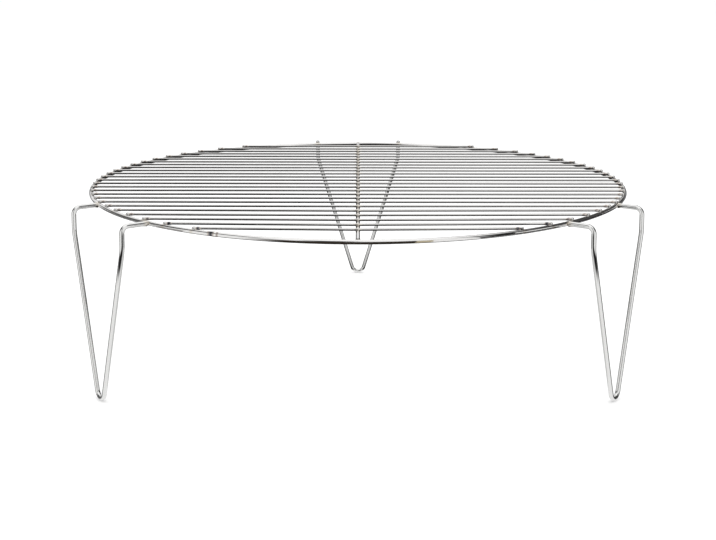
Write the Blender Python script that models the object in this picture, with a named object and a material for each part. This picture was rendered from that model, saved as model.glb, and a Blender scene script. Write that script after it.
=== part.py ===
"""Round wire cooking grate on three V-shaped wire legs, which stands over a fire bowl.

The grate is welded up from straight and bent wires. Each wire is its own object.
Sizes are in metres. +Z is up, the front of the grate faces -Y, and the object
stands on the plane z = 0 with the middle of its footprint at the origin.
"""

import math
from typing import NamedTuple

import bmesh
import bpy
from mathutils import Matrix, Vector

# Overall sizes
RIM_OUTER_DIAMETER = 0.600
GRATE_HEIGHT = 0.196  # from the ground to the flat tops of the cross wires

# Wire diameters
RIM_WIRE = 0.0045
SPINE_WIRE = 0.004
CROSS_WIRE = 0.0025
LEG_WIRE = 0.005

# Cross wires
CROSS_WIRE_COUNT = 25
CROSS_WIRE_EDGE_GAP = 0.04335  # from the front and back ones to the middle of the rim's wire
CROSS_WIRE_OVERHANG = 0.0006  # past the middle of the rim's wire

# Legs, between the middles of their wires
LEG_WIDTH = 0.112
LEG_REACH = 0.0229  # from the middle of the rim's wire to the upright part
LEG_BEND_RADIUS = 0.007
LEG_KINK_DROP = 0.024  # from the rim's level to where the sides start to close in
LEG_KINK_RADIUS = 0.030
LEG_SPLAY = 0.006  # how much further out the foot stands than the upright part
FOOT_RADIUS = 0.0085
LEG_HEADINGS = {"left_leg": 216.3, "right_leg": 323.7, "back_leg": 90.0}  # degrees from +X

# Welds
WELD_GAP = 0.0003  # clearance left where one wire is welded to another
PRESSED_WIDTH = 0.0033  # of a cross wire where it is pressed onto the ring
PRESSED_REACH = 0.0024  # from the middle of that weld to where the wire is round again
BUTT_WIDTH_OF_SPINE = 0.0048  # of its ends, swollen by their butt welds
BUTT_WIDTH_OF_LEG = 0.0060
BUTT_WIDTH_OF_RIM = 0.0050  # of the ring where its own two ends meet
BUTT_REACH = 0.003
RIM_SEAM_HEADING = 242.0  # degrees from +X

# Roundness of the model
WIRE_SIDES = 12
RIM_STEPS = 120
DEGREES_PER_BEND_STEP = 12.0
END_ROUNDING = 0.45  # share of a cross wire's radius
END_ROUNDING_STEPS = 2
WELD_CUTS = (0.0, 0.5, 1.0)  # shares of a weld's reach where the wire has a ring of points
CUT_TOLERANCE = 1e-6

# Finishes: colour, roughness
BRIGHT_WIRE = {
    "rim_steel": ((0.78, 0.77, 0.75, 1.0), 0.12),
    "spine_steel": ((0.72, 0.69, 0.66, 1.0), 0.20),
    "cross_steel": ((0.70, 0.69, 0.68, 1.0), 0.16),
    "leg_steel": ((0.80, 0.80, 0.79, 1.0), 0.10),
}

RIM_RADIUS = (RIM_OUTER_DIAMETER - RIM_WIRE) / 2  # to the middle of the rim's wire
LEG_RADIUS = RIM_RADIUS + LEG_REACH


def wire_flat(diameter):
    """Distance from the middle of a faceted wire to its flats."""
    return diameter / 2 * math.cos(math.pi / WIRE_SIDES)


RIM_TOP = RIM_WIRE / 2
SPINE_LEVEL = RIM_TOP - wire_flat(SPINE_WIRE)  # its flat top is level with the rim's top
CROSS_LEVEL = RIM_TOP + WELD_GAP + wire_flat(CROSS_WIRE)
RIM_LEVEL = GRATE_HEIGHT - CROSS_LEVEL - wire_flat(CROSS_WIRE)  # the rim's middle above the ground


class Weld(NamedTuple):
    """How a straight wire swells where it is welded near its two ends."""

    place: float  # from the wire's middle to the weld's
    reach: float  # from there to where the wire is round again
    sideways: float  # how many times wider than the wire the weld's middle is
    upright: float  # how many times higher


def clear_scene():
    """Remove what the scene holds at the start."""
    for thing in list(bpy.data.objects):
        bpy.data.objects.remove(thing, do_unlink=True)


def make_collection(name):
    """A new collection in the scene."""
    collection = bpy.data.collections.new(name)
    bpy.context.scene.collection.children.link(collection)
    return collection


def make_material(name, colour, roughness):
    """A bright metal finish."""
    material = bpy.data.materials.new(name)
    material.use_nodes = True
    shader = material.node_tree.nodes["Principled BSDF"]
    shader.inputs["Base Color"].default_value = colour
    shader.inputs["Metallic"].default_value = 1.0
    shader.inputs["Roughness"].default_value = roughness
    return material


def add_part(name, data, material, collection, parent):
    """Put a mesh or curve in the scene under a parent, with its material."""
    part = bpy.data.objects.new(name, data)
    collection.objects.link(part)
    part.parent = parent
    data.materials.append(material)
    return part


def shade_round(mesh):
    """Shade the long facets of a wire smooth and keep its cut ends sharp."""
    mesh.shade_smooth()
    mesh.set_sharp_from_angle(angle=math.radians(50.0))


def swelling(share):
    """How much of a weld's swelling is left at a share of its reach."""
    return math.cos(share * math.pi / 2) ** 2


def cut_across(bm, faces, point, along):
    """Add a ring of points to a wire, on the plane through a point and square to a direction."""
    edges = {edge for face in faces for edge in face.edges}
    verts = {vert for face in faces for vert in face.verts}
    bmesh.ops.bisect_plane(
        bm,
        geom=[*verts, *edges, *faces],
        dist=CUT_TOLERANCE,
        plane_co=point,
        plane_no=along,
    )


def swell_at_welds(bm, weld):
    """Spread a wire along X round its two welds."""
    for side in (-1, 1):
        for share in WELD_CUTS:
            x = side * (weld.place - share * weld.reach)
            cut_across(bm, bm.faces[:], (x, 0.0, 0.0), (1.0, 0.0, 0.0))
    for vert in bm.verts:
        share = abs(abs(vert.co.x) - weld.place) / weld.reach
        if share < 1.0:
            vert.co.y *= 1 + (weld.sideways - 1) * swelling(share)
            vert.co.z *= 1 + (weld.upright - 1) * swelling(share)


def straight_wire_mesh(name, diameter, length, rounding, weld):
    """A wire along X about the origin, with flats facing up and down and rounded ends."""
    bm = bmesh.new()
    bmesh.ops.create_cone(
        bm,
        cap_ends=True,
        segments=WIRE_SIDES,
        radius1=diameter / 2,
        radius2=diameter / 2,
        depth=length,
    )
    half_facet = Matrix.Rotation(math.pi / WIRE_SIDES, 4, "Z")
    along_x = Matrix.Rotation(math.pi / 2, 4, "Y")
    bmesh.ops.transform(bm, matrix=along_x @ half_facet, verts=bm.verts)
    if rounding > 0.0:
        rims = [e for e in bm.edges if abs(e.verts[0].co.x - e.verts[1].co.x) < length / 2]
        bmesh.ops.bevel(
            bm,
            geom=rims,
            offset=rounding,
            segments=END_ROUNDING_STEPS,
            profile=0.5,
            affect="EDGES",
            clamp_overlap=True,
        )
    swell_at_welds(bm, weld)
    mesh = bpy.data.meshes.new(name)
    bm.to_mesh(mesh)
    bm.free()
    shade_round(mesh)
    return mesh


def rounded_path(corners, radii, step):
    """Points of a path through the corners, each corner replaced by an arc.

    corners are the path's ends and corners, radii has one bend radius for each
    inner corner, and step is the angle of the arcs' steps in radians.
    """
    points = [corners[0]]
    for before, corner, after, radius in zip(corners, corners[1:], corners[2:], radii):
        back = (before - corner).normalized()
        ahead = (after - corner).normalized()
        turn = math.pi - back.angle(ahead)
        centre = corner + (back + ahead).normalized() * radius / math.cos(turn / 2)
        start = corner + back * radius * math.tan(turn / 2) - centre
        axis = ahead.cross(back).normalized()
        steps = 2 * math.ceil(turn / step / 2) + 1  # odd, so that an arc's middle is a straight step
        for i in range(steps + 1):
            points.append(centre + Matrix.Rotation(turn * i / steps, 3, axis) @ start)
    points.append(corners[-1])
    return points


def butt_welded_ends(points, widening):
    """The points of a path and the wire's thickness there, with both ends swollen.

    widening is how many times thicker than the wire its ends are.
    """
    shares = [share for share in WELD_CUTS if share > 0.0]
    first = (points[1] - points[0]).normalized() * BUTT_REACH
    last = (points[-2] - points[-1]).normalized() * BUTT_REACH
    near = [points[0] + first * share for share in shares]
    far = [points[-1] + last * share for share in reversed(shares)]
    swollen = [1 + (widening - 1) * swelling(share) for share in (0.0, *shares)]
    path = [points[0], *near, *points[1:-1], *far, points[-1]]
    return path, [*swollen, *[1.0] * (len(points) - 2), *reversed(swollen)]


def bent_wire_curve(name, points, thickness, diameter, turned):
    """A round wire along the points, with filled ends and its flats turned about it."""
    curve = bpy.data.curves.new(name, "CURVE")
    curve.dimensions = "3D"
    curve.bevel_depth = diameter / 2
    curve.bevel_resolution = WIRE_SIDES // 2 - 2
    curve.use_fill_caps = True
    spline = curve.splines.new("POLY")
    spline.points.add(len(points) - 1)
    for place, point, factor in zip(spline.points, points, thickness):
        place.co = (*point, 1.0)
        place.radius = factor
        place.tilt = turned
    return curve


def swell_at_seam(mesh):
    """Spread the ring round the butt weld that closes it."""
    heading = math.radians(RIM_SEAM_HEADING)
    middle = RIM_RADIUS * Vector((math.cos(heading), math.sin(heading), 0.0))
    along = Vector((-math.sin(heading), math.cos(heading), 0.0))
    bm = bmesh.new()
    bm.from_mesh(mesh)
    for share in sorted({side * share for side in (-1, 1) for share in WELD_CUTS}):
        seam_side = [face for face in bm.faces if face.calc_center_median().dot(middle) > 0.0]
        cut_across(bm, seam_side, middle + along * share * BUTT_REACH, along)
    for vert in bm.verts:
        share = (vert.co - middle).dot(along) / BUTT_REACH
        if abs(share) < 1.0 and vert.co.dot(middle) > 0.0:
            wire_middle = Vector((vert.co.x, vert.co.y, 0.0)).normalized() * RIM_RADIUS
            widening = 1 + (BUTT_WIDTH_OF_RIM / RIM_WIRE - 1) * swelling(share)
            vert.co = wire_middle + (vert.co - wire_middle) * widening
    bm.to_mesh(mesh)
    bm.free()


def make_rim_ring(material, collection, parent):
    """The ring that carries every other wire."""
    bpy.ops.mesh.primitive_torus_add(
        major_radius=RIM_RADIUS,
        minor_radius=RIM_WIRE / 2,
        major_segments=RIM_STEPS,
        minor_segments=WIRE_SIDES,
    )
    made = bpy.context.object
    mesh = made.data
    bpy.data.objects.remove(made)
    swell_at_seam(mesh)
    shade_round(mesh)
    add_part("rim_ring", mesh, material, collection, parent)


def make_spine_wire(material, collection, parent):
    """The wire from front to back, cut to fit between the ring's inner sides."""
    inner_radius = RIM_OUTER_DIAMETER / 2 - RIM_WIRE
    half_length = math.sqrt(inner_radius**2 - (BUTT_WIDTH_OF_SPINE / 2) ** 2) - WELD_GAP
    swollen = BUTT_WIDTH_OF_SPINE / SPINE_WIRE
    weld = Weld(place=half_length, reach=BUTT_REACH, sideways=swollen, upright=swollen)
    mesh = straight_wire_mesh("spine_wire", SPINE_WIRE, 2 * half_length, 0.0, weld)
    spine = add_part("spine_wire", mesh, material, collection, parent)
    spine.location.z = SPINE_LEVEL
    spine.rotation_euler.z = math.pi / 2


def make_cross_wires(material, collection, parent):
    """The evenly spaced wires from left to right, each cut to its chord of the ring."""
    reach = RIM_RADIUS + CROSS_WIRE_OVERHANG
    outermost = RIM_RADIUS - CROSS_WIRE_EDGE_GAP
    pitch = 2 * outermost / (CROSS_WIRE_COUNT - 1)
    rounding = END_ROUNDING * CROSS_WIRE / 2
    pressed = PRESSED_WIDTH / CROSS_WIRE
    for i in range(CROSS_WIRE_COUNT):
        y = i * pitch - outermost
        length = 2 * math.sqrt(reach**2 - y**2)
        on_ring = math.sqrt(RIM_RADIUS**2 - y**2)
        weld = Weld(place=on_ring, reach=PRESSED_REACH, sideways=pressed, upright=1.0)
        name = f"cross_wire_{i + 1:02d}"
        mesh = straight_wire_mesh(name, CROSS_WIRE, length, rounding, weld)
        wire = add_part(name, mesh, material, collection, parent)
        wire.location = (0.0, y, CROSS_LEVEL)


def leg_lean():
    """Angle from upright at which a whole leg leans outwards."""
    return math.atan2(LEG_SPLAY, RIM_LEVEL - wire_flat(LEG_WIRE))


def leg_corners():
    """Corners of a leg's path, seen from outside: X to the side, Y outwards, Z up.

    The sides close in from the kinks and touch the foot's arc. The angle at which
    they do comes from the tangent to that arc through the kink.
    """
    half = LEG_WIDTH / 2
    arm_edge = half - BUTT_WIDTH_OF_LEG / 2
    arm_start = math.sqrt((RIM_OUTER_DIAMETER / 2) ** 2 - arm_edge**2) + WELD_GAP
    foot_centre = wire_flat(LEG_WIRE) + FOOT_RADIUS - RIM_LEVEL
    drop = -LEG_KINK_DROP - foot_centre
    closing = math.atan2(half, drop) - math.asin(FOOT_RADIUS / math.hypot(half, drop))
    tip = -LEG_KINK_DROP - half / math.tan(closing)
    outwards = math.tan(leg_lean())
    side = [
        Vector((half, arm_start, 0.0)),
        Vector((half, LEG_RADIUS, 0.0)),
        Vector((half, LEG_RADIUS + LEG_KINK_DROP * outwards, -LEG_KINK_DROP)),
    ]
    other_side = [Vector((-c.x, c.y, c.z)) for c in reversed(side)]
    return [*side, Vector((0.0, LEG_RADIUS - tip * outwards, tip)), *other_side]


def make_legs(material, collection, parent):
    """Three equal legs round the ring, each from one bent wire."""
    radii = [LEG_BEND_RADIUS, LEG_KINK_RADIUS, FOOT_RADIUS, LEG_KINK_RADIUS, LEG_BEND_RADIUS]
    bends = rounded_path(leg_corners(), radii, math.radians(DEGREES_PER_BEND_STEP))
    points, thickness = butt_welded_ends(bends, BUTT_WIDTH_OF_LEG / LEG_WIRE)
    flat_down = math.pi / WIRE_SIDES + leg_lean()  # gives the foot a level flat to stand on
    for name, heading in LEG_HEADINGS.items():
        curve = bent_wire_curve(name, points, thickness, LEG_WIRE, flat_down)
        leg = add_part(name, curve, material, collection, parent)
        leg.rotation_euler.z = math.radians(heading - 90.0)


def footprint_middle():
    """How far behind the ring's centre the middle of the footprint lies."""
    back = LEG_RADIUS + LEG_SPLAY + LEG_WIRE / 2
    front = RIM_OUTER_DIAMETER / 2
    return (back - front) / 2


def build():
    """Build the grate."""
    clear_scene()
    parts = make_collection("fire_bowl_grill")
    ring_centre = bpy.data.objects.new("ring_centre", None)
    parts.objects.link(ring_centre)
    ring_centre.location = (0.0, -footprint_middle(), RIM_LEVEL)
    steel = {name: make_material(name, *finish) for name, finish in BRIGHT_WIRE.items()}
    make_rim_ring(steel["rim_steel"], parts, ring_centre)
    make_spine_wire(steel["spine_steel"], parts, ring_centre)
    make_cross_wires(steel["cross_steel"], parts, ring_centre)
    make_legs(steel["leg_steel"], parts, ring_centre)


build()
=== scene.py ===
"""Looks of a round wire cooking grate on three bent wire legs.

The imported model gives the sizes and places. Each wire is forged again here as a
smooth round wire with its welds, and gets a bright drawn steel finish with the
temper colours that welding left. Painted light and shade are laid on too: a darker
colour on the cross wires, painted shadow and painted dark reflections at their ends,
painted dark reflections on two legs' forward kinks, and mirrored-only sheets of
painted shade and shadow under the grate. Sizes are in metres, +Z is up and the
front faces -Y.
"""

import logging
import math
import random
from collections.abc import Callable, Iterable
from dataclasses import dataclass
from enum import Enum

import bmesh
import bpy
from mathutils import Matrix, Vector


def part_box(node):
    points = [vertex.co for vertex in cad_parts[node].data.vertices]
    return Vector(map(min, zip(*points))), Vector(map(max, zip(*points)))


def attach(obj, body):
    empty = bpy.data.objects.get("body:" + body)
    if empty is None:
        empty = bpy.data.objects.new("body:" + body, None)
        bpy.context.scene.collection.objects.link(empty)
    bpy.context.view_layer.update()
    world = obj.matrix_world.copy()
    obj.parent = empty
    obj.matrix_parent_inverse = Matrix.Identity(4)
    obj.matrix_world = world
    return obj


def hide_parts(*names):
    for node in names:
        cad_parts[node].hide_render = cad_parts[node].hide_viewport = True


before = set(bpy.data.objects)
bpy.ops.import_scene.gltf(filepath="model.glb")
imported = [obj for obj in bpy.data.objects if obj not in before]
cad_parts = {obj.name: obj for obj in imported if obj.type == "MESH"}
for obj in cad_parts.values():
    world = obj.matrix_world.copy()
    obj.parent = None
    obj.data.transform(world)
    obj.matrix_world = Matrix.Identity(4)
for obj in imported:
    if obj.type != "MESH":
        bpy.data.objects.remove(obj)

log = logging.getLogger("grate")

BODY = "root"
STRAIGHTENED = "straightened"
# Attribute with the weld heat for the temper colours; on the cross wires it also lays on painted shadow and
# a painted dark reflection
HEAT_AND_SHADE = "weld_heat_and_shade"
# Attribute with the strength of the painted dark reflection on a wire
PAINTED_REFLECTION = "painted_reflection"
X_AXIS = Vector((1.0, 0.0, 0.0))
Z_AXIS = Vector((0.0, 0.0, 1.0))
MERGE_DISTANCE = 1e-6
DEGREES = 180.0 / math.pi
FULL_TURN = 360.0
BEND_STEP = 3.0  # degrees from one row of points to the next in a bend

Colour = tuple[float, float, float, float]


def grey(level: float) -> Colour:
    """A plain grey of a given brightness."""
    return (level, level, level, 1.0)


def flat_direction(angle: float) -> Vector:
    """The level direction at an angle from +X."""
    return Vector((math.cos(angle), math.sin(angle), 0.0))


class Signal:
    """A shader socket that Python expressions turn into Math nodes."""

    def __init__(self, graph: "Graph", socket: bpy.types.NodeSocket) -> None:
        """Wrap one output socket of a graph."""
        self.graph = graph
        self.socket = socket

    def _math(self, operation: str, *operands: "Signal | float") -> "Signal":
        """Add a Math node.

        Args:
            operation: The Math node's operation.
            operands: Its inputs in order.

        Returns:
            The node's result.
        """
        inputs = dict(enumerate(operands))
        return self.graph.signal("ShaderNodeMath", {"operation": operation}, inputs)

    def __add__(self, other: "Signal | float") -> "Signal":
        """Sum."""
        return self._math("ADD", self, other)

    def __radd__(self, other: float) -> "Signal":
        """Sum with a number on the left."""
        return self._math("ADD", other, self)

    def __sub__(self, other: "Signal | float") -> "Signal":
        """Difference."""
        return self._math("SUBTRACT", self, other)

    def __rsub__(self, other: float) -> "Signal":
        """Difference from a number on the left."""
        return self._math("SUBTRACT", other, self)

    def __mul__(self, other: "Signal | float") -> "Signal":
        """Product."""
        return self._math("MULTIPLY", self, other)

    def __rmul__(self, other: float) -> "Signal":
        """Product with a number on the left."""
        return self._math("MULTIPLY", other, self)

    def __neg__(self) -> "Signal":
        """Negative."""
        return self._math("MULTIPLY", self, -1.0)

    def angle_from(self, other: "Signal") -> "Signal":
        """Angle of the point that has this signal as its height and the other as its width."""
        return self._math("ARCTAN2", self, other)

    def arcsine(self) -> "Signal":
        """Angle whose sine the signal is."""
        return self._math("ARCSINE", self)

    def rise(self, start: float, end: float) -> "Signal":
        """A smooth step.

        Args:
            start: Where the step is still 0.
            end: Where it has come to 1, which may be below start.

        Returns:
            The step, from 0 to 1.
        """
        return self.graph.signal(
            "ShaderNodeMapRange",
            {"interpolation_type": "SMOOTHSTEP"},
            {"Value": self, "From Min": start, "From Max": end},
        )


class Graph:
    """A node tree that is written from Python."""

    def __init__(self, tree: bpy.types.NodeTree) -> None:
        """Empty a tree and keep it."""
        tree.nodes.clear()
        self.tree = tree

    def node(
        self,
        kind: str,
        settings: dict[str, object] | None = None,
        inputs: dict[int | str, object] | None = None,
    ) -> bpy.types.Node:
        """Add one node.

        Args:
            kind: The node's type.
            settings: Its properties, and a ramp's stops as pairs of place and colour.
            inputs: Values or signals for its sockets, by name or number.

        Returns:
            The node.
        """
        node = self.tree.nodes.new(kind)
        for name, value in (settings or {}).items():
            if name == "stops":
                self._set_stops(node.color_ramp, value)
            else:
                setattr(node, name, value)
        for key, value in (inputs or {}).items():
            if isinstance(value, Signal):
                self.tree.links.new(value.socket, node.inputs[key])
            else:
                node.inputs[key].default_value = value
        return node

    @staticmethod
    def _set_stops(ramp: bpy.types.ColorRamp, stops: list[tuple[float, Colour]]) -> None:
        """Give a ramp its stops.

        Args:
            ramp: The ramp, as a new node has it.
            stops: Place and colour of each stop, in order.
        """
        while len(ramp.elements) < len(stops):
            ramp.elements.new(1.0)
        for element, (place, colour) in zip(ramp.elements, stops):
            element.position = place
            element.color = colour

    def signal(
        self,
        kind: str,
        settings: dict[str, object] | None = None,
        inputs: dict[int | str, object] | None = None,
        output: int | str = 0,
    ) -> Signal:
        """Add one node and take one of its outputs, with the same arguments as node."""
        return Signal(self, self.node(kind, settings, inputs).outputs[output])

    def mix(
        self, share: Signal | float, first: Signal | Colour, second: Signal | Colour, blend: str = "MIX"
    ) -> Signal:
        """Mix two colours.

        Args:
            share: How much of the second colour there is.
            first: The first colour.
            second: The second colour.
            blend: How the second one is laid over the first.

        Returns:
            The mixed colour.
        """
        settings = {"data_type": "RGBA", "blend_type": blend}
        return self.signal("ShaderNodeMix", settings, {0: share, 6: first, 7: second}, output=2)

    def split(self, vector: Signal) -> list[Signal]:
        """The X, Y and Z parts of a vector."""
        parts = self.node("ShaderNodeSeparateXYZ", None, {0: vector})
        return [Signal(self, part) for part in parts.outputs]

    def show(self, shader: Signal, clear_share: Signal) -> None:
        """Give the material a shader that is clear in parts.

        Args:
            shader: What shows.
            clear_share: How clear the surface is, from 0 to 1.
        """
        clear = self.signal("ShaderNodeBsdfTransparent")
        mixed = self.signal("ShaderNodeMixShader", None, {0: clear_share, 1: shader, 2: clear})
        self.node("ShaderNodeOutputMaterial", None, {"Surface": mixed})


def new_material(name: str) -> tuple[bpy.types.Material, Graph]:
    """Make a material without nodes.

    Args:
        name: Its name.

    Returns:
        The material and its graph.
    """
    material = bpy.data.materials.new(name)
    material.use_nodes = True
    return material, Graph(material.node_tree)


def new_surface(name: str, mesh: bmesh.types.BMesh, material: bpy.types.Material) -> bpy.types.Object:
    """Put a surface of the studio into the scene.

    Args:
        name: Its name.
        mesh: Its faces, which are freed here.
        material: Its material.

    Returns:
        The surface.
    """
    data = bpy.data.meshes.new(name)
    mesh.to_mesh(data)
    mesh.free()
    data.materials.append(material)
    surface = bpy.data.objects.new(name, data)
    bpy.context.scene.collection.objects.link(surface)
    return surface


class Temper(Enum):
    """Temper colours of bright steel, each after the share of a weld's full heat at which it shows."""

    STRAW = (0.16, (0.70, 0.655, 0.585, 1.0))
    BROWN = (0.36, (0.52, 0.46, 0.435, 1.0))
    PURPLE = (0.58, (0.36, 0.33, 0.325, 1.0))
    BLUE = (0.80, (0.20, 0.205, 0.225, 1.0))
    GREY = (1.00, grey(0.06))


class Grain(Enum):
    """Noises on a wire: how much finer than a metre, along and across it, and how many octaves."""

    LINES = ((14.0, 2600.0, 2600.0), 4.0)
    PATCHES = ((38.0, 160.0, 160.0), 3.0)
    SPECKS = ((900.0, 1400.0, 1400.0), 2.0)

    def noise(self, graph: Graph, place: Signal) -> Signal:
        """Noise on the straightened wire.

        Args:
            graph: The material's graph.
            place: The straightened place.

        Returns:
            The noise, from 0 to 1.
        """
        scale, octaves = self.value
        stretched = graph.signal("ShaderNodeMapping", None, {"Vector": place, "Scale": scale})
        inputs = {"Vector": stretched, "Scale": 1.0, "Detail": octaves}
        return graph.signal("ShaderNodeTexNoise", None, inputs)


@dataclass(frozen=True)
class SteelFinish:
    """Bright drawn steel wire, with drawing lines along it, temper colours at its welds and a painted dark
    reflection where the wire is marked for one.

    An edge is the pair of levels between which a mark comes in.
    """

    name: str
    colour: Colour
    roughness: float
    line_depth: float = 0.00002
    patch_depth: float = 0.4  # as a share of the lines' depth
    line_contrast: float = 0.05
    speck_contrast: float = 0.25
    speck_edge: tuple[float, float] = (0.70, 0.80)
    haze: float = 0.10
    haze_edge: tuple[float, float] = (0.45, 0.75)
    first_temper: float = 0.05  # heat up to which the steel keeps its colour
    even_temper: float = 0.75
    patchy_temper: float = 0.5
    temper_roughness: float = 0.08
    temper_edge: tuple[float, float] = (0.1, 0.9)
    # Painted dark reflection: a near-black colour laid over the wire where it is marked for one, streaked
    # by the drawing lines
    reflection_colour: Colour = grey(0.012)
    even_reflection: float = 0.8
    lined_reflection: float = 0.4
    reflection_edge: tuple[float, float] = (0.08, 0.75)

    def material(self) -> bpy.types.Material:
        """Make the material.

        Returns:
            The material, which reads the wire's straightened place, its heat, which on the cross wires also
            carries painted shadow, and its painted dark reflection.
        """
        material, graph = new_material(self.name)
        place = graph.signal("ShaderNodeAttribute", {"attribute_name": STRAIGHTENED}, output="Vector")
        heat = graph.signal("ShaderNodeAttribute", {"attribute_name": HEAT_AND_SHADE}, output="Fac")
        painted_reflection = graph.signal("ShaderNodeAttribute", {"attribute_name": PAINTED_REFLECTION}, output="Fac")
        lines, patches, specks = (grain.noise(graph, place) for grain in Grain)
        # Heat gives the temper colours, and on the cross wires also the painted shadow near the ends and
        # the painted dark reflection on the tips
        tempered = heat * (self.even_temper + self.patchy_temper * patches)
        stops = [(0.0, self.colour), (self.first_temper, self.colour), *(t.value for t in Temper)]
        colour = graph.signal("ShaderNodeValToRGB", {"stops": stops}, {"Fac": tempered})
        shade = 1.0 - self.line_contrast + self.line_contrast * 2.0 * lines
        shade = shade - self.speck_contrast * specks.rise(*self.speck_edge)
        tint = graph.signal("ShaderNodeCombineColor", None, {0: shade, 1: shade, 2: shade})
        shaded = graph.mix(1.0, colour, tint, "MULTIPLY")
        # Painted dark reflection: darken the colour towards near black where the wire is marked for one
        streaked = (painted_reflection * (self.even_reflection + self.lined_reflection * lines)).rise(*self.reflection_edge)
        shaded = graph.mix(streaked, shaded, self.reflection_colour)
        roughness = self.roughness + self.haze * patches.rise(*self.haze_edge)
        roughness = roughness + self.temper_roughness * tempered.rise(*self.temper_edge)
        relief = lines + self.patch_depth * patches
        bump = graph.signal(
            "ShaderNodeBump", None, {"Strength": 1.0, "Distance": self.line_depth, "Height": relief}
        )
        shader = graph.signal(
            "ShaderNodeBsdfPrincipled",
            None,
            {"Base Color": shaded, "Roughness": roughness, "Normal": bump, "Metallic": 1.0},
        )
        graph.node("ShaderNodeOutputMaterial", None, {"Surface": shader})
        return material


RIM_STEEL = SteelFinish("rim_steel", (0.86, 0.85, 0.84, 1.0), roughness=0.10)
SPINE_STEEL = SteelFinish("spine_steel", (0.92, 0.91, 0.91, 1.0), roughness=0.14)
# The cross wires are the same bright steel, given a darker colour here as painted shade
CROSS_STEEL_PAINTED_DARK = SteelFinish("cross_steel", (0.66, 0.65, 0.64, 1.0), roughness=0.12)
LEG_STEEL = SteelFinish("leg_steel", (0.84, 0.84, 0.83, 1.0), roughness=0.09)


@dataclass(frozen=True)
class Section:
    """One section of a wire: width and height as shares of the wire, heat, which on the cross wires also
    carries painted shadow, and a painted dark reflection on its side.
    """

    wide: float = 1.0
    high: float = 1.0
    heat: float = 0.0
    # Painted dark reflection: its strength, the side of the wire it lies on and how far round it spreads
    painted_reflection: float = 0.0
    reflection_side: float = 0.0
    reflection_spread: float = 0.6


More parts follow.
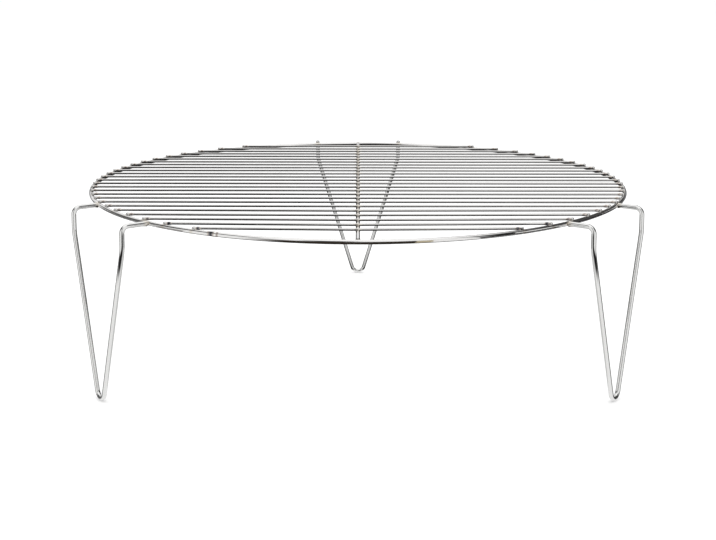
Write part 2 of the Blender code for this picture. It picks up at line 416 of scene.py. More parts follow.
class WireForge:
    """Grows one closed round wire, ring by ring, from a circle of edges."""

    sharp_angle = math.radians(60.0)

    def __init__(
        self, diameter: float, sides: int, start: Matrix, profile: Callable[[float], Section]
    ) -> None:
        """Lay the first ring.

        Args:
            diameter: The wire's diameter.
            sides: Points in a ring.
            start: The first ring's frame, with the wire running along its X axis.
            profile: The section at a distance along the wire.
        """
        self.mesh = bmesh.new()
        self.place_layer = self.mesh.verts.layers.float_vector.new(STRAIGHTENED)
        self.heat_and_shade_layer = self.mesh.verts.layers.float.new(HEAT_AND_SHADE)
        self.painted_reflection_layer = self.mesh.verts.layers.float.new(PAINTED_REFLECTION)
        self.frame = start
        self.profile = profile
        self.section = profile(0.0)
        self.travelled = 0.0
        circle = bmesh.ops.create_circle(
            self.mesh, cap_ends=False, segments=sides, radius=diameter / 2
        )
        across = Matrix.Rotation(math.pi / 2, 4, "Y")
        stretch = Matrix.Diagonal((1.0, self.section.wide, self.section.high, 1.0))
        bmesh.ops.transform(self.mesh, matrix=start @ stretch @ across, verts=circle["verts"])
        self.ring = list(self.mesh.edges)
        self._mark(circle["verts"])

    def _mark(self, verts: Iterable[bmesh.types.BMVert]) -> None:
        """Write a ring's straightened place, heat and painted dark reflection.

        Args:
            verts: The ring's points.
        """
        inverse = self.frame.inverted()
        section = self.section
        for vert in verts:
            local = inverse @ vert.co
            side = math.remainder(math.atan2(local.z, local.y) - section.reflection_side, math.tau)
            vert[self.place_layer] = (self.travelled, local.y, local.z)
            vert[self.heat_and_shade_layer] = section.heat
            vert[self.painted_reflection_layer] = section.painted_reflection * bell(side, section.reflection_spread)

    def _reshape(self, verts: list[bmesh.types.BMVert]) -> None:
        """Give the newest ring the profile's section.

        Args:
            verts: The ring's points.
        """
        section = self.profile(self.travelled)
        change = (1.0, section.wide / self.section.wide, section.high / self.section.high, 1.0)
        matrix = self.frame @ Matrix.Diagonal(change) @ self.frame.inverted()
        bmesh.ops.transform(self.mesh, matrix=matrix, verts=verts)
        self.section = section
        self._mark(verts)

    def run(self, shift: Vector) -> None:
        """Extrude the wire straight on.

        Args:
            shift: From the newest ring's middle to the next one's.
        """
        grown = bmesh.ops.extrude_edge_only(self.mesh, edges=self.ring)["geom"]
        verts = [part for part in grown if isinstance(part, bmesh.types.BMVert)]
        self.ring = [
            part for part in grown if isinstance(part, bmesh.types.BMEdge) and part.is_boundary
        ]
        bmesh.ops.translate(self.mesh, verts=verts, vec=shift)
        self.frame = Matrix.Translation(shift) @ self.frame
        self.travelled += shift.length
        self._reshape(verts)

    def turn(self, centre: Vector, axis: Vector, angle: float) -> None:
        """Spin the wire on round a centre, by one ring.

        Args:
            centre: The bend's centre.
            axis: The bend's axis.
            angle: How far it turns to the next ring.
        """
        verts = {vert for edge in self.ring for vert in edge.verts}
        grown = bmesh.ops.spin(
            self.mesh,
            geom=[*verts, *self.ring],
            cent=centre,
            axis=axis,
            angle=angle,
            steps=1,
        )["geom_last"]
        verts = [part for part in grown if isinstance(part, bmesh.types.BMVert)]
        self.ring = [part for part in grown if isinstance(part, bmesh.types.BMEdge)]
        away = Matrix.Translation(centre)
        self.travelled += (self.frame.translation - centre).length * abs(angle)
        self.frame = away @ Matrix.Rotation(angle, 4, axis) @ away.inverted() @ self.frame
        self._reshape(verts)

    def bend(self, radius: float, axis: Vector, angle: float, steps: int) -> None:
        """Bend the wire along an arc.

        Args:
            radius: The bend's radius, to the wire's middle.
            axis: The bend's axis.
            angle: How far it turns.
            steps: Rings in the bend.
        """
        heading = self.frame.to_3x3() @ X_AXIS
        centre = self.frame.translation + axis.cross(heading).normalized() * radius
        for _ in range(steps):
            self.turn(centre, axis, angle / steps)

    def finish(self) -> bpy.types.Mesh:
        """Close the ends.

        Returns:
            The wire's mesh.
        """
        open_edges = [edge for edge in self.mesh.edges if edge.is_boundary]
        bmesh.ops.holes_fill(self.mesh, edges=open_edges, sides=0)
        bmesh.ops.recalc_face_normals(self.mesh, faces=self.mesh.faces)
        data = bpy.data.meshes.new("wire")
        self.mesh.to_mesh(data)
        self.mesh.free()
        data.shade_smooth()
        data.set_sharp_from_angle(angle=self.sharp_angle)
        return data


def put_in_place(
    name: str, data: bpy.types.Mesh, material: bpy.types.Material, slot: str, *nodes: str
) -> None:
    """Make a wire a piece of the grate.

    Args:
        name: The piece's name.
        data: Its mesh, already in place.
        material: Its finish.
        slot: Not used.
        nodes: The model's nodes that it stands for.
    """
    data.name = name
    data.materials.append(material)
    piece = bpy.data.objects.new(name, data)
    bpy.context.scene.collection.objects.link(piece)
    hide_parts(*nodes)
    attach(piece, BODY)
    log.info("%s: %d faces", name, len(data.polygons))


def bell(distance: float, reach: float) -> float:
    """A smooth bump.

    Args:
        distance: From its middle.
        reach: Where it has fallen to about a third.

    Returns:
        Its height, 1 in the middle.
    """
    return math.exp(-((distance / reach) ** 2))


@dataclass(frozen=True)
class Layout:
    """Where the ring lies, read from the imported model."""

    centre: Vector
    rim_radius: float
    rim_wire: float = 0.0045

    @classmethod
    def from_frame(cls) -> "Layout":
        """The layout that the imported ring's box gives."""
        low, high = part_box("rim_ring")
        return cls(centre=(low + high) / 2, rim_radius=(high.x - low.x - cls.rim_wire) / 2)

    def chord(self, y: float) -> float:
        """Half the length of the ring's chord at a given Y."""
        return math.sqrt(self.rim_radius**2 - (y - self.centre.y) ** 2)


class Waver:
    """Slow, slight bends that a straight wire keeps from its coil."""

    least_share = 0.4

    def __init__(self, seed: int, size: float, lengths: tuple[float, ...]) -> None:
        """Draw the phases.

        Args:
            seed: Seed of the draw.
            size: Greatest offset of one wave.
            lengths: The waves' lengths.
        """
        draw = random.Random(seed)
        self.waves = [
            (length, draw.uniform(self.least_share, 1.0) * size, draw.uniform(0.0, math.tau))
            for length in lengths
        ]

    def at(self, along: float) -> float:
        """Offset at a place along the wire."""
        return sum(size * math.sin(along / length * math.tau + phase) for length, size, phase in self.waves)


class WeldHeat(Enum):
    """Heat that a weld left in the ring: how far it reaches and how strong it is."""

    SEAM_BURN = (0.0026, 1.05)
    SEAM_SPOT = (0.0010, 0.60)
    ARM = (0.005, 0.15)
    CROSSING = (0.0026, 0.16)

    def at(self, distance: float) -> float:
        """Heat at a distance along the ring."""
        reach, strength = self.value
        return strength * bell(distance, reach)


Weld = tuple[float, WeldHeat]


@dataclass(frozen=True)
class RimRing:
    """The ring, bent from one wire and butt-welded to itself."""

    layout: Layout
    finish: SteelFinish
    undersize: float = 0.00002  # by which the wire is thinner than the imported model's
    sides: int = 28
    seam_heading: float = math.radians(243.5)
    seam_part: float = math.radians(4.0)
    seam_steps: int = 28
    steps: int = 356
    seam_swell: float = 0.14
    seam_reach: float = 0.0020
    seam_burn_away: float = 0.0034  # from the seam to the burns on both sides

    def build(self, welds: list[Weld]) -> None:
        """Forge the ring.

        Args:
            welds: Angle and heat of each weld on it.
        """
        start_angle = self.seam_heading - self.seam_part / 2
        outwards = flat_direction(start_angle)
        along = Z_AXIS.cross(outwards)
        frame_axes = Matrix((along, outwards, -Z_AXIS)).transposed().to_4x4()
        start = Matrix.Translation(self.layout.centre + outwards * self.layout.rim_radius) @ frame_axes
        radius = self.layout.rim_radius
        wire = WireForge(
            self.layout.rim_wire - self.undersize,
            self.sides,
            start,
            lambda travelled: self._section(start_angle + travelled / radius, welds),
        )
        for part, steps in [(self.seam_part, self.seam_steps), (math.tau - self.seam_part, self.steps)]:
            for _ in range(steps):
                wire.turn(self.layout.centre, Z_AXIS, part / steps)
        bmesh.ops.remove_doubles(wire.mesh, verts=wire.mesh.verts, dist=MERGE_DISTANCE)
        put_in_place("rim", wire.finish(), self.finish.material(), "rim_steel", "rim_ring")

    def _section(self, angle: float, welds: list[Weld]) -> Section:
        """The ring's section at an angle.

        Args:
            angle: From +X.
            welds: Angle and heat of each weld on it.

        Returns:
            The section, swollen at the seam.
        """
        swell = 1.0 + self.seam_swell * bell(self._distance(angle, self.seam_heading), self.seam_reach)
        heat = max(kind.at(self._distance(angle, place)) for place, kind in welds)
        return Section(wide=swell, high=swell, heat=heat)

    def _distance(self, angle: float, other: float) -> float:
        """Way along the ring between two angles."""
        return abs(math.remainder(angle - other, math.tau)) * self.layout.rim_radius


@dataclass(frozen=True)
class CrossWires:
    """The straight wires from left to right, welded onto the ring and the spine."""

    layout: Layout
    finish: SteelFinish
    count: int = 25
    diameter: float = 0.0025
    sides: int = 20
    spacing: float = 0.008
    sunk: float = 0.0004
    overhang: float = 0.0008
    pressed_wide: float = 1.50
    pressed_high: float = 1.45
    pressed_down: float = 0.00010
    pressed_in: float = 0.0009
    pressed_reach: float = 0.0019
    least_tip: float = 0.02  # of the wire's section, left for the flat end
    end_steps: int = 8
    # Painted shadow on a band near each end, darkest on the front wires, laid on as weld heat
    end_heat_and_shadow: float = 1.15
    end_shadow_back: float = 0.40
    shadowed_wires: float = 2.6
    end_shadow_in: float = 0.0050
    end_heat_and_shadow_reach: float = 0.0016
    end_swell: float = 0.22
    close_rings: float = 2.5  # reaches of the end's painted shadow that have close rings
    # Painted dark reflection on the rounded tip, laid on as weld heat
    tip_reflection: float = 1.0
    tip_reflection_reach: float = 0.0006
    spine_heat: float = 0.14
    spine_heat_reach: float = 0.0055
    spine_swell: float = 0.14
    spine_reach: float = 0.0020
    close_rings_at_spine: float = 3.0  # reaches of the swelling that have close rings
    # How hot each wire's welds got, which also scales its painted shadow
    heat_and_shadow_range: tuple[float, float] = (0.7, 1.25)
    sideways_waver: float = 0.00022
    upward_waver: float = 0.00004
    wave_lengths: tuple[float, ...] = (0.53, 0.29)
    waver_rise: float = 4.0
    front_sag: float = 0.0013
    sagging_wires: float = 4.5

    @staticmethod
    def node(number: int) -> str:
        """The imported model's name for a wire, counted from the front."""
        return f"cross_wire_{number:02d}"

    @classmethod
    def rows(cls) -> tuple[float, ...]:
        """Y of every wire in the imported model, from the front."""
        boxes = [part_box(cls.node(number)) for number in range(1, cls.count + 1)]
        return tuple((low.y + high.y) / 2 for low, high in boxes)

    def build(self) -> None:
        """Forge every wire."""
        material = self.finish.material()
        for number, y in enumerate(self.rows(), start=1):
            self._build_one(number, y, material)

    def _build_one(self, number: int, y: float, material: bpy.types.Material) -> None:
        """Forge one wire from left to right.

        Args:
            number: Its number from the front.
            y: Its place.
            material: Its finish.
        """
        radius = self.diameter / 2
        level = self.layout.centre.z + self.layout.rim_wire / 2 + radius - self.sunk
        weld = self.layout.chord(y)
        half = weld + self.overhang
        sideways = Waver(number, self.sideways_waver, self.wave_lengths)
        upwards = Waver(number + self.count, self.upward_waver, self.wave_lengths)
        sag = self.front_sag * bell(number - 1, self.sagging_wires)
        # How hot this wire's welds got, and how deep the painted shadow by its ends is
        heat_and_shadow_share = random.Random(number).uniform(*self.heat_and_shadow_range)
        shadow_strength = self.end_shadow_back + (self.end_heat_and_shadow - self.end_shadow_back) * bell(number - 1, self.shadowed_wires)
        middles = []
        for x in self._places(half, weld):
            free = max(0.0, 1.0 - abs(x) / weld)
            pressed = bell(abs(x) - weld + self.pressed_in, self.pressed_reach)
            height = level + (upwards.at(x) - sag) * free - self.pressed_down * pressed
            middles.append(Vector((x, y + sideways.at(x) * min(1.0, self.waver_rise * free), height)))
        wire = WireForge(
            self.diameter,
            self.sides,
            Matrix.Translation(middles[0]),
            lambda travelled: self._section(abs(travelled - half), half, weld, heat_and_shadow_share, shadow_strength),
        )
        for before, after in zip(middles, middles[1:]):
            wire.run(after - before)
        name = f"cross_bar_{number:02d}"
        put_in_place(name, wire.finish(), material, "cross_steel", self.node(number))

    def _places(self, half: float, weld: float) -> list[float]:
        """Places of the rings along the wire.

        Args:
            half: Half the wire's length.
            weld: From the wire's middle to the middle of the weld on the ring.

        Returns:
            The places from left to right, closer together at the welds and the round ends.
        """
        radius = self.diameter / 2
        inner = weld - self.end_shadow_in - self.close_rings * self.end_heat_and_shadow_reach
        near = self.close_rings_at_spine * self.spine_reach
        plain = round((inner - near) / self.spacing)
        right = [near * i / self.end_steps for i in range(1, self.end_steps)]
        right += [near + (inner - near) * i / plain for i in range(plain)]
        right += [inner + (half - radius - inner) * i / self.end_steps for i in range(self.end_steps)]
        right += [
            half - radius + radius * math.sin(math.pi / 2 * i / self.end_steps)
            for i in range(self.end_steps)
        ]
        return [*(-x for x in reversed(right)), 0.0, *right]

    def _section(self, x: float, half: float, weld: float, heat_and_shadow_share: float, shadow_strength: float) -> Section:
        """The wire's section at a distance from its middle.

        Args:
            x: The distance.
            half: Half the wire's length.
            weld: Where the weld on the ring is.
            heat_and_shadow_share: How hot this wire's welds got, as a share, which also scales the painted
                shadow by its ends.
            shadow_strength: Strength of the painted shadow by its ends, laid on as weld heat.

        Returns:
            The section, pressed wide on the ring and melted round at the end, with painted shadow near each
            end and a painted dark reflection on the tip, both carried as heat.
        """
        radius = self.diameter / 2
        beyond = max(0.0, (x - (half - radius)) / radius)
        rounded = math.sqrt(max(self.least_tip, 1.0 - beyond**2))
        fillet = self.spine_swell * bell(x, self.spine_reach)
        pressed = bell(x - weld + self.pressed_in, self.pressed_reach)
        end_band = bell(weld - self.end_shadow_in - x, self.end_heat_and_shadow_reach)
        fillet += self.end_swell * end_band
        wide = 1.0 + fillet + (self.pressed_wide - 1.0) * pressed
        high = 1.0 + fillet + (self.pressed_high - 1.0) * pressed
        # Heat: the painted shadow near the end, the painted dark reflection on the tip, and the real temper
        # colour at the spine
        heat = max(
            shadow_strength * heat_and_shadow_share * end_band,
            self.tip_reflection * bell(half - x, self.tip_reflection_reach),
            self.spine_heat * heat_and_shadow_share * bell(x, self.spine_heat_reach),
        )
        return Section(wide=wide * rounded, high=high * rounded, heat=heat)


@dataclass(frozen=True)
class SpineWire:
    """The wire from front to back under the cross wires, welded into the ring."""

    layout: Layout
    finish: SteelFinish
    crossings: tuple[float, ...]
    diameter: float = 0.004
    sides: int = 24
    spacing: float = 0.003
    set_in: float = 0.15  # of the ring's wire, from its middle to the spine's end
    end_swell: float = 0.22
    end_reach: float = 0.0022
    end_heat_and_shadow: float = 0.22
    end_heat_and_shadow_reach: float = 0.006
    crossing_heat: float = 0.11
    crossing_heat_reach: float = 0.0045
    sag: float = 0.0009
    sag_place: float = 0.055
    sag_reach: float = 0.075

    def build(self) -> None:
        """Forge the wire from front to back."""
        half = self.layout.rim_radius - self.layout.rim_wire * self.set_in
        level = self.layout.centre.z + self.layout.rim_wire / 2 - self.diameter / 2
        turn = Matrix.Rotation(math.pi / 2, 4, "Z")
        front = self.layout.centre.y - half
        steps = round(2 * half / self.spacing)
        places = [front + 2 * half * i / steps for i in range(steps + 1)]
        middles = [Vector((0.0, y, level - self._sag(y - front))) for y in places]
        wire = WireForge(
            self.diameter,
            self.sides,
            Matrix.Translation(middles[0]) @ turn,
            lambda travelled: self._section(front + travelled, half),
        )
        for before, after in zip(middles, middles[1:]):
            wire.run(after - before)
        put_in_place("spine", wire.finish(), self.finish.material(), "spine_steel", "spine_wire")

    def _sag(self, along: float) -> float:
        """How far the wire is pressed down at a distance from its front end."""
        return self.sag * bell(along - self.sag_place, self.sag_reach) * min(1.0, along / self.sag_place)

    def _section(self, y: float, half: float) -> Section:
        """The wire's section at a place along it.

        Args:
            y: The place.
            half: Half the wire's length.

        Returns:
            The section, swollen at both ends.
        """
        from_end = half - abs(y - self.layout.centre.y)
        swell = 1.0 + self.end_swell * bell(from_end, self.end_reach)
        heat = max(
            self.end_heat_and_shadow * bell(from_end, self.end_heat_and_shadow_reach),
            max(self.crossing_heat * bell(y - c, self.crossing_heat_reach) for c in self.crossings),
        )
        return Section(wide=swell, high=swell, heat=heat)


@dataclass(frozen=True)
class Leg:
    """One leg: a wire bent into two arms, two kinked sides and a round foot."""

    layout: Layout
    node: str
    name: str
    heading: float
    diameter: float = 0.0049
    sides: int = 24
    width: float = 0.112
    reach: float = 0.02285
    arm_set_out: float = 0.45  # of the ring's wire, from its middle to the arm's end
    foot_clearance: float = 0.0001
    least_bend_steps: int = 4
    bend_radius: float = 0.007
    kink_drop: float = 0.024
    kink_radius: float = 0.030
    splay: float = 0.006
    foot_radius: float = 0.0085
    weld_swell: float = 0.20
    weld_reach: float = 0.0024
    weld_heat_and_shade: float = 0.16
    weld_heat_reach: float = 0.005
    straight_step: float = 0.002
    # Painted dark reflection round one kink and in a line down to it: which bend, its reaches, the side of
    # the wire it lies on and its spread
    reflection_bend: int | None = None
    reflection_up: float = 0.020
    reflection_down: float = 0.022
    reflection_middle: float = 0.006
    reflection_side_above: float = math.radians(14.0)
    reflection_side_below: float = math.radians(46.0)
    reflection_spreads: tuple[float, float] = (0.26, 0.62)
    reflection_line: float = 0.95

    def build(self, material: bpy.types.Material) -> None:
        """Forge the leg from one arm round to the other.

        Args:
            material: Its finish.
        """
        corners = self._corners()
        radii = [self.bend_radius, self.kink_radius, self.foot_radius, self.kink_radius, self.bend_radius]
        directions = [(after - before).normalized() for before, after in zip(corners, corners[1:])]
        turns = [before.angle(after) for before, after in zip(directions, directions[1:])]
        cuts = [0.0, *(radius * math.tan(turn / 2) for radius, turn in zip(radii, turns)), 0.0]
        straights = [
            (after - before).length - cuts[i] - cuts[i + 1]
            for i, (before, after) in enumerate(zip(corners, corners[1:]))
        ]
        bends = [
            sum(straights[: i + 1]) + sum(r * t for r, t in zip(radii[:i], turns)) + radii[i] * turns[i] / 2
            for i in range(len(radii))
        ]
        length = sum(straights) + sum(radius * turn for radius, turn in zip(radii, turns))
        axes = Matrix((directions[0], Z_AXIS.cross(directions[0]), Z_AXIS)).transposed().to_4x4()
        wire = WireForge(
            self.diameter,
            self.sides,
            Matrix.Translation(corners[0]) @ axes,
            lambda travelled: self._section(travelled, length, bends),
        )
        for i, (direction, straight) in enumerate(zip(directions, straights)):
            steps = max(1, round(straight / self.straight_step))
            for _ in range(steps):
                wire.run(direction * straight / steps)
            if i < len(radii):
                axis = direction.cross(directions[i + 1]).normalized()
                rings = max(self.least_bend_steps, round(math.degrees(turns[i]) / BEND_STEP))
                wire.bend(radii[i], axis, turns[i], rings)
        put_in_place(self.name, wire.finish(), material, "leg_steel", self.node)

    def _corners(self) -> list[Vector]:
        """Corners of the leg's path.

        Returns:
            The ends and corners, from one arm's weld to the other's.
        """
        outwards = flat_direction(self.heading)
        aside = Z_AXIS.cross(outwards)
        half = self.width / 2
        level = self.layout.centre.z
        lean = self.splay / (level - self.diameter / 2)
        upright = self.layout.rim_radius + self.reach
        foot_centre = self.diameter / 2 + self.foot_clearance + self.foot_radius - level
        drop = -self.kink_drop - foot_centre
        closing = math.atan2(half, drop) - math.asin(self.foot_radius / math.hypot(half, drop))
        tip = -self.kink_drop - half / math.tan(closing)
        ring_side = math.sqrt(self.layout.rim_radius**2 - half**2)
        arm_start = ring_side + self.layout.rim_wire * self.arm_set_out

        def at(across: float, out: float, down: float) -> Vector:
            """A point of the leg.

            Args:
                across: To the side, seen from outside.
                out: From the ring's centre.
                down: Below the ring's level, negative.

            Returns:
                The point.
            """
            return self.layout.centre + aside * across + outwards * out + Z_AXIS * down

        side = [(half, arm_start, 0.0), (half, upright, 0.0)]
        side.append((half, upright + self.kink_drop * lean, -self.kink_drop))
        other = [(-across, out, down) for across, out, down in reversed(side)]
        return [at(*point) for point in [*side, (0.0, upright - tip * lean, tip), *other]]

    def _section(self, travelled: float, length: float, bends: list[float]) -> Section:
        """The wire's section at a distance from its start.

        Args:
            travelled: The distance.
            length: The wire's whole length.
            bends: Distance of the middle of each bend.

        Returns:
            The section, swollen at both welds, with a painted dark reflection in a line along it
            down to the kink and round the kink.
        """
        from_end = min(travelled, length - travelled)
        swell = 1.0 + self.weld_swell * bell(from_end, self.weld_reach)
        heat = self.weld_heat_and_shade * bell(from_end, self.weld_heat_reach)
        if self.reflection_bend is None:
            return Section(wide=swell, high=swell, heat=heat)
        # Painted dark reflection: a line from the arm's bend down to the kink, and a patch round the kink
        # on its front side
        below = travelled - bends[self.reflection_bend]
        if self.reflection_bend > len(bends) // 2:
            below = -below
        past = below - self.reflection_middle
        painted_reflection = bell(past, self.reflection_down if past > 0.0 else self.reflection_up)
        if past < 0.0:
            painted_reflection = max(painted_reflection, self.reflection_line * min(1.0, max(0.0, (from_end - bends[0]) / self.bend_radius)))
        share = min(1.0, max(0.0, 0.5 + below / self.reflection_middle / 2))
        side = self.reflection_side_above + (self.reflection_side_below - self.reflection_side_above) * share
        spread = self.reflection_spreads[0] + (self.reflection_spreads[1] - self.reflection_spreads[0]) * share
        return Section(swell, swell, heat, painted_reflection, side, spread)


LEG_HEADINGS = {"left_leg": 216.3, "right_leg": 323.7, "back_leg": 90.0}
# Number of the bend with the painted dark reflection, from 0: of each leg's two kinks, the one further
# forward
REFLECTION_KINKS = {"left_leg": 1, "right_leg": 3}


def ring_welds(layout: Layout, rows: tuple[float, ...]) -> list[Weld]:
    """Find the welds on the ring.

    Args:
        layout: Where the ring lies.
        rows: Y of every cross wire.

    Returns:
        The welds of the seam, of the legs' arms and of the cross wires.
    """
    away = RimRing.seam_burn_away / layout.rim_radius
    welds = [
        (RimRing.seam_heading - away, WeldHeat.SEAM_BURN),
        (RimRing.seam_heading + away, WeldHeat.SEAM_SPOT),
    ]
    arm_turn = math.asin(Leg.width / 2 / layout.rim_radius)
    for heading in LEG_HEADINGS.values():
        welds += [(math.radians(heading) + side * arm_turn, WeldHeat.ARM) for side in (-1, 1)]
    for y in rows:
        turn = math.asin((y - layout.centre.y) / layout.rim_radius)
        welds += [(turn, WeldHeat.CROSSING), (math.pi - turn, WeldHeat.CROSSING)]
    return welds


class Bearing(Enum):
    """Measures of a direction that a patch of the room is bounded by."""

    AZIMUTH = "azimuth"
    ELEVATION = "elevation"
    PITCH = "pitch"
    SIDEWAYS = "sideways"
    BACKWARDS = "backwards"


@dataclass(frozen=True)
class RoomPatch:
    """A part of the room around the grate, with soft edges and a light of its own.

    Each edge is where the patch starts and where it is full, on the bearing of the same number.
    """

    light: Colour
    bearings: tuple[Bearing, ...]
    edges: tuple[tuple[float, float], ...]

    def cover(self, colour: Signal, measures: dict[Bearing, Signal]) -> Signal:
        """Lay the patch over what is there.

        Args:
            colour: The room's light so far.
            measures: The direction's measures, angles in degrees.

        Returns:
            The room's light with the patch in it.
        """
        share: Signal | float = 1.0
        for bearing, (outside, inside) in zip(self.bearings, self.edges):
            share = share * measures[bearing].rise(outside, inside)
        return colour.graph.mix(share, colour, self.light)


BACKDROP_LIGHT = grey(1.09)
ROOM_LIGHT = grey(0.92)
AROUND = (Bearing.AZIMUTH, Bearing.AZIMUTH, Bearing.ELEVATION, Bearing.ELEVATION)
AHEAD = (Bearing.SIDEWAYS, Bearing.SIDEWAYS, Bearing.PITCH, Bearing.PITCH)
BEHIND = (Bearing.BACKWARDS, Bearing.ELEVATION, Bearing.ELEVATION)
OVERHEAD = (Bearing.ELEVATION,)
ROOM = (
    # The right side, round to the back, level with the wires
    RoomPatch(grey(0.06), AROUND, ((78.0, 95.0), (172.0, 156.0), (-30.0, -20.0), (26.0, 14.0))),
    # The left side, round to the back, level with the wires
    RoomPatch(grey(0.12), AROUND, ((-80.0, -102.0), (-150.0, -132.0), (-34.0, -20.0), (31.0, 16.0))),
    # Above the left side
    RoomPatch(grey(0.05), AROUND, ((-72.0, -84.0), (-130.0, -104.0), (8.0, 17.0), (46.0, 36.0))),
    # High on the right, round to the back
    RoomPatch(grey(0.06), AROUND, ((46.0, 54.0), (176.0, 160.0), (11.0, 19.0), (66.0, 54.0))),
    # High on the left
    RoomPatch(grey(0.05), AROUND, ((-42.0, -52.0), (-132.0, -108.0), (26.0, 35.0), (64.0, 52.0))),
    # Straight behind, low down
    RoomPatch((0.28, 0.28, 0.29, 1.0), BEHIND, ((0.80, 0.92), (-42.0, -26.0), (11.0, 3.0))),
    # An upright stripe in front, left of the middle
    RoomPatch(grey(0.05), AHEAD, ((-0.38, -0.28), (0.04, -0.08), (-25.0, -15.0), (58.0, 40.0))),
    # A slightly lighter band across that stripe
    RoomPatch((0.10, 0.095, 0.09, 1.0), AHEAD, ((-0.34, -0.24), (0.10, 0.0), (-7.0, -1.0), (18.0, 8.0))),
    # The bright ceiling
    RoomPatch(grey(1.10), OVERHEAD, ((46.0, 62.0),)),
)


@dataclass(frozen=True)
class Flag:
    """A card bent round the grate, which only the wires mirror, and only on the side that faces up."""

    name: str
    light: Colour
    headings: tuple[float, float]
    inner: tuple[float, float]
    outer: tuple[float, float]
    fade: float = 0.0

    def build(self, centre: Vector) -> None:
        """Hang the card.

        Args:
            centre: The grate's middle, which the card goes round.
        """
        mesh = bmesh.new()
        axis = Vector((centre.x, centre.y, 0.0))
        first, last = (math.radians(heading) for heading in self.headings)
        outwards = flat_direction(first)
        places = [axis + outwards * r + Z_AXIS * height for r, height in (self.inner, self.outer)]
        ends = [mesh.verts.new(place) for place in places]
        edge = mesh.edges.new(ends)
        bmesh.ops.spin(
            mesh,
            geom=[*ends, edge],
            cent=axis,
            axis=Z_AXIS,
            angle=last - first,
            steps=max(1, round(math.degrees(last - first) / BEND_STEP)),
        )
        if next(iter(mesh.faces)).normal.z < 0.0:
            bmesh.ops.reverse_faces(mesh, faces=mesh.faces)
        card = new_surface(self.name, mesh, self._material(axis))
        card.visible_camera = False
        card.visible_diffuse = False
        card.visible_shadow = False

    def _material(self, axis: Vector) -> bpy.types.Material:
        """Make the card's glowing material.

        Args:
            axis: Where the card's upright axis stands.

        Returns:
            The material, clear on the side that faces down and, with a fade, at the first end.
        """
        material, graph = new_material(self.name)
        clear_share = graph.signal("ShaderNodeNewGeometry", output="Backfacing")
        if self.fade:
            x, y, _ = graph.split(graph.signal("ShaderNodeTexCoord", output="Object"))
            past = (y - axis.y).angle_from(x - axis.x) * DEGREES - (self.headings[0] - FULL_TURN)
            clear_share = clear_share + past.rise(self.fade, 0.0)
        graph.show(graph.signal("ShaderNodeEmission", None, {"Color": self.light}), clear_share)
        return material


BLACK_CARD = grey(0.022)
BROWN_CARD = (0.035, 0.028, 0.022, 1.0)
GOLD_CARD = (0.50, 0.44, 0.32, 1.0)
GREY_CARD = grey(0.16)
LIGHT_CARD = (0.30, 0.29, 0.28, 1.0)
# Grey of the painted shadow on the floor under the grate, which only the wires mirror
FLOOR_SHADOW_CARD = grey(0.60)
ALL_ROUND = (0.0, FULL_TURN)
# Inner and outer edge of a flat card just outside the ring, and of one that rises past it from below
BESIDE_RING = ((0.3005, 0.187), (0.3145, 0.187))
RISING = ((0.2985, 0.156), (0.3175, 0.196))
FLAGS = (
    # A black sheet just under the wires, mirrored only: painted shade beneath the grate
    Flag("under_shade_card", BLACK_CARD, ALL_ROUND, (0.001, 0.184), (0.300, 0.184)),
    Flag("front_card", BROWN_CARD, (246.5, 280.8), *RISING, fade=10.0),
    Flag("gold_card", GOLD_CARD, (280.8, 284.0), *RISING),
    Flag("band_card", BLACK_CARD, (290.0, 301.5), (0.3165, 0.184), (0.3175, 0.210), fade=8.0),
    Flag("right_front_card", BLACK_CARD, (292.5, 310.9), *BESIDE_RING),
    Flag("right_side_card", BLACK_CARD, (314.9, 332.5), *BESIDE_RING),
    Flag("right_back_card", GREY_CARD, (336.5, 390.0), *BESIDE_RING),
    Flag("left_back_card", GREY_CARD, (150.0, 203.5), *BESIDE_RING),
    Flag("left_side_card", GREY_CARD, (207.5, 225.1), *BESIDE_RING),
    Flag("left_front_card", LIGHT_CARD, (229.1, 236.0), *BESIDE_RING),
    # A grey sheet on the floor under the grate, mirrored only: painted shadow of the grate
    Flag("floor_shadow_card", FLOOR_SHADOW_CARD, ALL_ROUND, (0.001, 0.002), (0.305, 0.002)),
    Flag("back_card", BLACK_CARD, (25.0, 155.0), (0.306, 0.001), (0.60, 0.06)),
    Flag("back_leg_card", BLACK_CARD, (50.0, 82.0), (0.205, 0.03), (0.200, 0.17)),
)


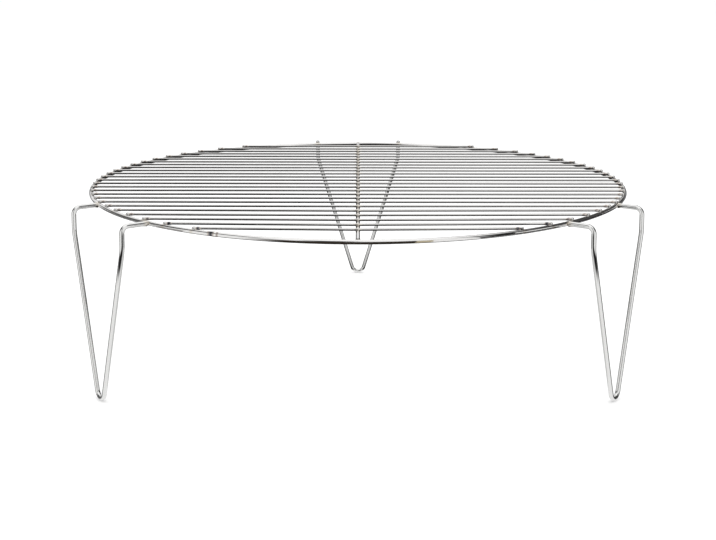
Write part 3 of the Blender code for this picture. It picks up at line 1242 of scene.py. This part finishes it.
@dataclass(frozen=True)
class Studio:
    """The pale floor, the soft light and the camera."""

    layout: Layout
    floor_radius: float = 40.0
    floor_sides: int = 64
    floor_colour: Colour = grey(0.93)
    camera_distance: float = 1.36054
    camera_height: float = 0.24846
    camera_tilt: float = math.radians(75.518)
    camera_turn: float = math.radians(-0.007)
    camera_roll: float = math.radians(0.06)
    camera_sees_from: float = 0.01
    camera_sees_to: float = 200.0
    lens: float = 60.76
    sensor_width: float = 36.0
    lamp_height: float = 2.6
    lamp_size: float = 3.2
    lamp_power: float = 22.0

    def build(self) -> None:
        """Set up the whole studio."""
        self._floor()
        self._room()
        for flag in FLAGS:
            flag.build(self.layout.centre)
        self._lamp()
        self._camera()
        view = bpy.context.scene.view_settings
        view.view_transform = "Standard"
        view.look = "None"

    def _floor(self) -> None:
        """Lay the floor, clear from beneath, which the wires don't mirror: the room stands for it."""
        mesh = bmesh.new()
        bmesh.ops.create_circle(
            mesh, cap_ends=True, segments=self.floor_sides, radius=self.floor_radius
        )
        material, graph = new_material("pale_floor")
        pale = graph.signal("ShaderNodeBsdfDiffuse", None, {"Color": self.floor_colour})
        graph.show(pale, graph.signal("ShaderNodeNewGeometry", output="Backfacing"))
        floor = new_surface("floor", mesh, material)
        floor.visible_glossy = False

    def _room(self) -> None:
        """Surround the grate with the room's patches, which only the wires mirror, in plain white."""
        world = bpy.data.worlds.new("studio")
        bpy.context.scene.world = world
        world.use_nodes = True
        graph = Graph(world.node_tree)
        x, y, z = graph.split(graph.signal("ShaderNodeTexCoord", output="Generated"))
        measures = {
            Bearing.AZIMUTH: x.angle_from(-y) * DEGREES,
            Bearing.ELEVATION: z.arcsine() * DEGREES,
            Bearing.PITCH: z.angle_from(-y) * DEGREES,
            Bearing.SIDEWAYS: x,
            Bearing.BACKWARDS: y,
        }
        light = graph.signal("ShaderNodeRGB")
        light.socket.default_value = ROOM_LIGHT
        for patch in ROOM:
            light = patch.cover(light, measures)
        mirrored = graph.signal("ShaderNodeLightPath", output="Is Glossy Ray")
        light = graph.mix(mirrored, BACKDROP_LIGHT, light)
        shader = graph.signal("ShaderNodeBackground", None, {"Color": light})
        graph.node("ShaderNodeOutputWorld", None, {"Surface": shader})

    def _lamp(self) -> None:
        """Hang a wide soft lamp over the grate."""
        data = bpy.data.lights.new("overhead", "AREA")
        data.shape = "DISK"
        data.size = self.lamp_size
        data.energy = self.lamp_power
        lamp = bpy.data.objects.new("overhead", data)
        lamp.location = (0.0, 0.0, self.lamp_height)
        lamp.visible_glossy = False
        bpy.context.scene.collection.objects.link(lamp)

    def _camera(self) -> None:
        """Set the camera where the photograph was taken from."""
        data = bpy.data.cameras.new("camera")
        data.lens = self.lens
        data.sensor_fit = "HORIZONTAL"
        data.sensor_width = self.sensor_width
        data.clip_start = self.camera_sees_from
        data.clip_end = self.camera_sees_to
        camera = bpy.data.objects.new("camera", data)
        camera.location = self.layout.centre + Vector((0.0, -self.camera_distance, self.camera_height))
        aim = Matrix.Rotation(self.camera_turn, 4, "Z") @ Matrix.Rotation(self.camera_tilt, 4, "X")
        camera.rotation_euler = (aim @ Matrix.Rotation(self.camera_roll, 4, "Z")).to_euler()
        bpy.context.scene.collection.objects.link(camera)
        bpy.context.scene.camera = camera


def main() -> None:
    """Build the grate and the studio."""
    logging.basicConfig(level=logging.INFO, format="%(message)s")
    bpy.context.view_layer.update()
    layout = Layout.from_frame()
    rows = CrossWires.rows()
    RimRing(layout, RIM_STEEL).build(ring_welds(layout, rows))
    SpineWire(layout, SPINE_STEEL, rows).build()
    CrossWires(layout, CROSS_STEEL_PAINTED_DARK).build()
    material = LEG_STEEL.material()
    for node, heading in LEG_HEADINGS.items():
        streaked = REFLECTION_KINKS.get(node)
        leg = Leg(layout, node, f"{node}_wire", math.radians(heading), reflection_bend=streaked)
        leg.build(material)
    Studio(layout).build()


if __name__ == "__main__":
    main()
